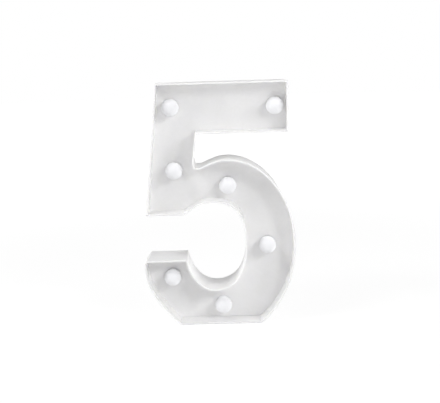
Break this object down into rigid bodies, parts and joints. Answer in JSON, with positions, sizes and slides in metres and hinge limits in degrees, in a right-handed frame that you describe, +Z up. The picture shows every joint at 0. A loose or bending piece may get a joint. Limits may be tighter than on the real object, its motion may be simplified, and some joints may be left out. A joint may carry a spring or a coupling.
{
  "type": "light up marquee number",
  "caption": "Battery lamp in the shape of a figure five: white tray with raised rim, frosted globe bulbs, screwed back with battery bay, switch and hanging slots.",
  "frame": {"origin": "middle of the foot, on the surface the figure stands on", "axes": "+X to the right as seen from the front, +Y to the back, +Z up"},
  "size_m": [0.1374, 0.04, 0.22],
  "materials": {
    "shell_plastic": "satin white moulding",
    "cover_plastic": "matt white moulding",
    "globe_plastic": "frosted white",
    "holder_plastic": "matt white",
    "diode_epoxy": "clear moulded",
    "screw_steel": "zinc plated",
    "cell_jacket": "glossy sleeve",
    "contact_metal": "nickel plated",
    "switch_metal": "tin plated",
    "slider_plastic": "matt black",
    "wire_insulation": "soft white",
    "resistor_ceramic": "lacquered"
  },
  "bodies": {
    "case": {"front_shell": "shell_plastic", "back_cover": "cover_plastic", "cover_screws": "screw_steel", "bulb_globe_1": "globe_plastic", "led_holder_1": "holder_plastic", "led_1": "diode_epoxy", "bulb_globe_2": "globe_plastic", "led_holder_2": "holder_plastic", "led_2": "diode_epoxy", "bulb_globe_3": "globe_plastic", "led_holder_3": "holder_plastic", "led_3": "diode_epoxy", "bulb_globe_4": "globe_plastic", "led_holder_4": "holder_plastic", "led_4": "diode_epoxy", "bulb_globe_5": "globe_plastic", "led_holder_5": "holder_plastic", "led_5": "diode_epoxy", "bulb_globe_6": "globe_plastic", "led_holder_6": "holder_plastic", "led_6": "diode_epoxy", "bulb_globe_7": "globe_plastic", "led_holder_7": "holder_plastic", "led_7": "diode_epoxy", "battery_cell_1": "cell_jacket", "battery_cell_2": "cell_jacket", "contact_positive": "contact_metal", "contact_negative": "contact_metal", "contact_bridge": "contact_metal", "spring_negative": "contact_metal", "spring_bridge": "contact_metal", "switch_body": "switch_metal", "wire_link_1": "wire_insulation", "wire_link_2": "wire_insulation", "wire_link_3": "wire_insulation", "wire_link_4": "wire_insulation", "wire_link_5": "wire_insulation", "wire_link_6": "wire_insulation", "wire_battery_minus": "wire_insulation", "wire_battery_plus": "wire_insulation", "wire_resistor_to_switch": "wire_insulation", "wire_switch_to_bulbs": "wire_insulation", "resistor": "resistor_ceramic"},
    "door": {"battery_door": "cover_plastic"},
    "switch_knob": {"switch_slider": "slider_plastic"}
  },
  "joints": [
    {"name": "battery_door_tilt", "type": "hinge", "parent": "case", "child": "door", "pos_m": [-0.01965, 0.0196, 0.1996], "axis": [0, 0, 1], "range_deg": [0, 85]},
    {"name": "switch_slide", "type": "slide", "parent": "case", "child": "switch_knob", "axis": [1, 0, 0], "range_m": [0, 0.0025]}
  ]
}
